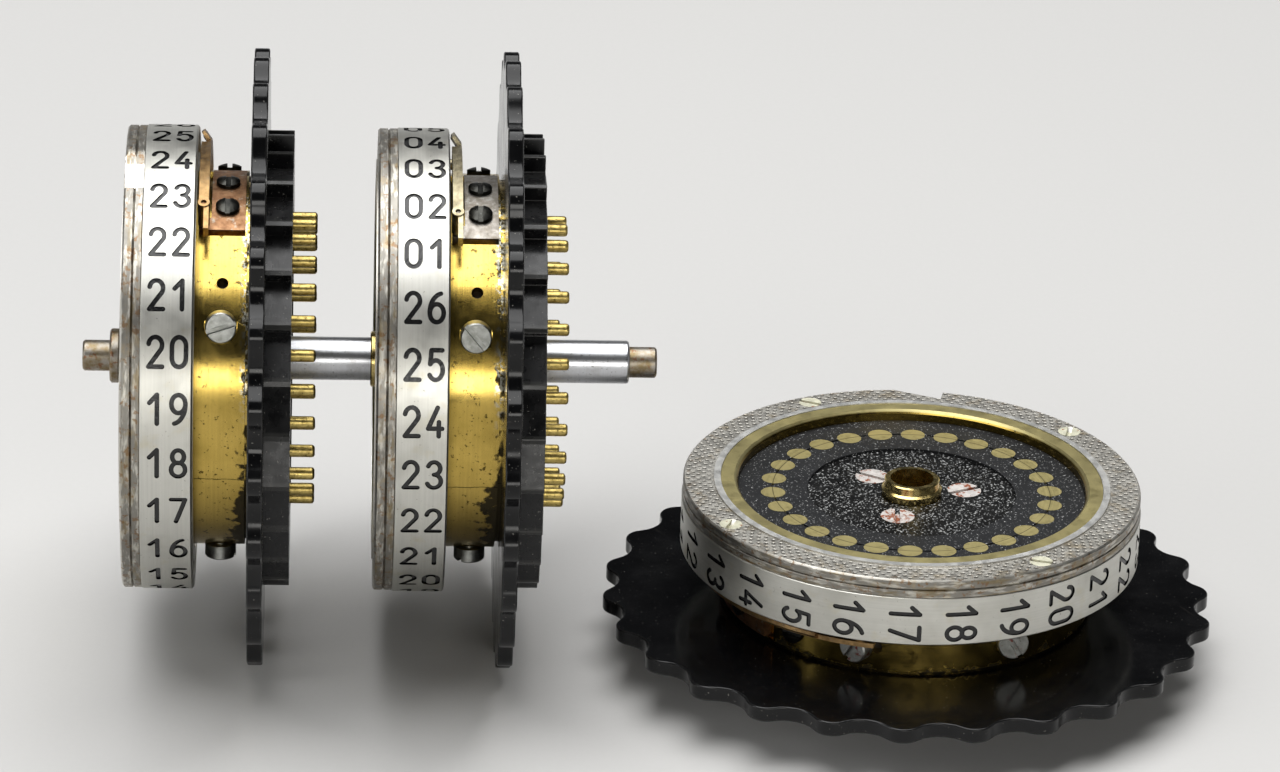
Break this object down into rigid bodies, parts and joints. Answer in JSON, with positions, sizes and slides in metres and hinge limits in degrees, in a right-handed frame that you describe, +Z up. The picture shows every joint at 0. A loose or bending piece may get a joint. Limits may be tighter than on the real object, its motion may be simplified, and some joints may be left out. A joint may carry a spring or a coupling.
{
  "type": "rotor set of a cipher machine",
  "caption": "Rotors of a cipher machine on a steel spindle, with a loose rotor beside them; each has a scalloped thumbwheel, ratchet, spring pins, contact face and turning number ring.",
  "frame": {"origin": "on the table under the middle of the set", "axes": "+X along the spindle towards the loose rotor, +Z up, -Y towards the front of the numbers"},
  "size_m": [0.185, 0.1036, 0.0993],
  "materials": {
    "bracket_bronze": "tarnished bronze",
    "bracket_screw": "blackened",
    "bracket_steel": "stained",
    "carrier_brown": "dark moulded",
    "contact_brass": "matt",
    "contact_disc_grey": "dusty dark grey",
    "cover_black": "speckled black",
    "cover_screw": "white paint and rust",
    "drum_brass": "turned",
    "drum_screw": "dull",
    "hub_brass": "polished",
    "lever_bronze": "spring bronze",
    "lever_steel": "spring steel",
    "notch_ring_metal": "knurled, spotted",
    "pin_brass": "polished",
    "ratchet_black": "black, tips worn",
    "ring_screw": "tarnished",
    "ring_silver": "turned satin",
    "spindle_steel": "polished",
    "spring_steel": "bright",
    "thumbwheel_black": "gloss black, scratched",
    "wire_copper": "bare copper"
  },
  "bodies": {
    "spindle": {"spindle": "spindle_steel"},
    "left_hub": {"left_hub_bush": "hub_brass"},
    "left_core": {"left_thumbwheel": "thumbwheel_black", "left_ratchet_wheel": "ratchet_black", "left_pin_carrier": "carrier_brown", "left_pin_springs": "spring_steel", "left_wiring": "wire_copper", "left_drum": "drum_brass", "left_contact_disc": "contact_disc_grey", "left_contact_plates": "contact_brass", "left_centre_cover": "cover_black", "left_cover_screws": "cover_screw", "left_lever_bracket": "bracket_bronze", "left_bracket_screws": "bracket_screw", "left_drum_screws": "drum_screw"},
    "left_ring": {"left_number_ring": "ring_silver", "left_notch_ring": "notch_ring_metal", "left_ring_screws": "ring_screw"},
    "left_lever": {"left_setting_lever": "lever_bronze"},
    "left_pins": {"left_spring_pins": "pin_brass"},
    "middle_hub": {"middle_hub_bush": "hub_brass"},
    "middle_core": {"middle_thumbwheel": "thumbwheel_black", "middle_ratchet_wheel": "ratchet_black", "middle_pin_carrier": "carrier_brown", "middle_pin_springs": "spring_steel", "middle_wiring": "wire_copper", "middle_drum": "drum_brass", "middle_contact_disc": "contact_disc_grey", "middle_contact_plates": "contact_brass", "middle_centre_cover": "cover_black", "middle_cover_screws": "cover_screw", "middle_lever_bracket": "bracket_steel", "middle_bracket_screws": "bracket_screw", "middle_drum_screws": "drum_screw"},
    "middle_ring": {"middle_number_ring": "ring_silver", "middle_notch_ring": "notch_ring_metal", "middle_ring_screws": "ring_screw"},
    "middle_lever": {"middle_setting_lever": "lever_steel"},
    "middle_pins": {"middle_spring_pins": "pin_brass"},
    "loose_core": {"loose_hub_bush": "hub_brass", "loose_thumbwheel": "thumbwheel_black", "loose_ratchet_wheel": "ratchet_black", "loose_pin_carrier": "carrier_brown", "loose_pin_springs": "spring_steel", "loose_wiring": "wire_copper", "loose_drum": "drum_brass", "loose_contact_disc": "contact_disc_grey", "loose_contact_plates": "contact_brass", "loose_centre_cover": "cover_black", "loose_cover_screws": "cover_screw", "loose_lever_bracket": "bracket_bronze", "loose_bracket_screws": "bracket_screw", "loose_drum_screws": "drum_screw"},
    "loose_ring": {"loose_number_ring": "ring_silver", "loose_notch_ring": "notch_ring_metal", "loose_ring_screws": "ring_screw"},
    "loose_lever": {"loose_setting_lever": "lever_bronze"},
    "loose_pins": {"loose_spring_pins": "pin_brass"}
  },
  "joints": [
    {"name": "left_rotor_slide", "type": "slide", "parent": "spindle", "child": "left_hub", "axis": [1, 0, 0], "range_m": [0, 0.004]},
    {"name": "middle_rotor_slide", "type": "slide", "parent": "left_hub", "child": "middle_hub", "axis": [1, 0, 0], "range_m": [-0.0105, 0.003]},
    {"name": "left_rotor_turn", "type": "hinge", "parent": "left_hub", "child": "left_core", "pos_m": [-0.06536, 0.00182, 0.04966], "axis": [1, 0, 0], "continuous": true},
    {"name": "left_ring_turn", "type": "hinge", "parent": "left_core", "child": "left_ring", "pos_m": [-0.06536, 0.00182, 0.04966], "axis": [1, 0, 0], "continuous": true},
    {"name": "left_lever_lift", "type": "hinge", "parent": "left_core", "child": "left_lever", "pos_m": [-0.07286, -0.01141, 0.08098], "axis": [0, 0.3891, -0.9212], "range_deg": [0, 3.5], "stiffness_Nm_per_rad": 0.05, "springref_deg": -11.46},
    {"name": "left_pins_press", "type": "slide", "parent": "left_core", "child": "left_pins", "axis": [-1, 0, 0], "range_m": [0, 0.0032], "stiffness_N_per_m": 2000, "springref_m": -0.004, "deforming": ["left_pin_springs"]},
    {"name": "middle_rotor_turn", "type": "hinge", "parent": "middle_hub", "child": "middle_core", "pos_m": [-0.02516, 0.00182, 0.04966], "axis": [1, 0, 0], "continuous": true},
    {"name": "middle_ring_turn", "type": "hinge", "parent": "middle_core", "child": "middle_ring", "pos_m": [-0.02516, 0.00182, 0.04966], "axis": [1, 0, 0], "continuous": true},
    {"name": "middle_lever_lift", "type": "hinge", "parent": "middle_core", "child": "middle_lever", "pos_m": [-0.03266, -0.0125, 0.0805], "axis": [0, 0.421, -0.907], "range_deg": [0, 3.5], "stiffness_Nm_per_rad": 0.05, "springref_deg": -11.46},
    {"name": "middle_pins_press", "type": "slide", "parent": "middle_core", "child": "middle_pins", "axis": [-1, 0, 0], "range_m": [0, 0.0032], "stiffness_N_per_m": 2000, "springref_m": -0.004, "deforming": ["middle_pin_springs"]},
    {"name": "loose_rotor_lift", "type": "slide", "parent": "spindle", "child": "loose_core", "axis": [0, 0, 1], "range_m": [0, 0.034]},
    {"name": "loose_ring_turn", "type": "hinge", "parent": "loose_core", "child": "loose_ring", "pos_m": [0.04254, -0.00198, 0.0105], "axis": [0, 0, 1], "continuous": true},
    {"name": "loose_lever_lift", "type": "hinge", "parent": "loose_core", "child": "loose_lever", "pos_m": [0.00859, -0.00382, 0.018], "axis": [0.9985, 0.0541, 0], "range_deg": [0, 3.5], "stiffness_Nm_per_rad": 0.05, "springref_deg": -11.46},
    {"name": "loose_pins_press", "type": "slide", "parent": "loose_core", "child": "loose_pins", "axis": [0, 0, 1], "range_m": [0, 0.0032], "stiffness_N_per_m": 2000, "springref_m": -0.004, "deforming": ["loose_pin_springs"]}
  ]
}
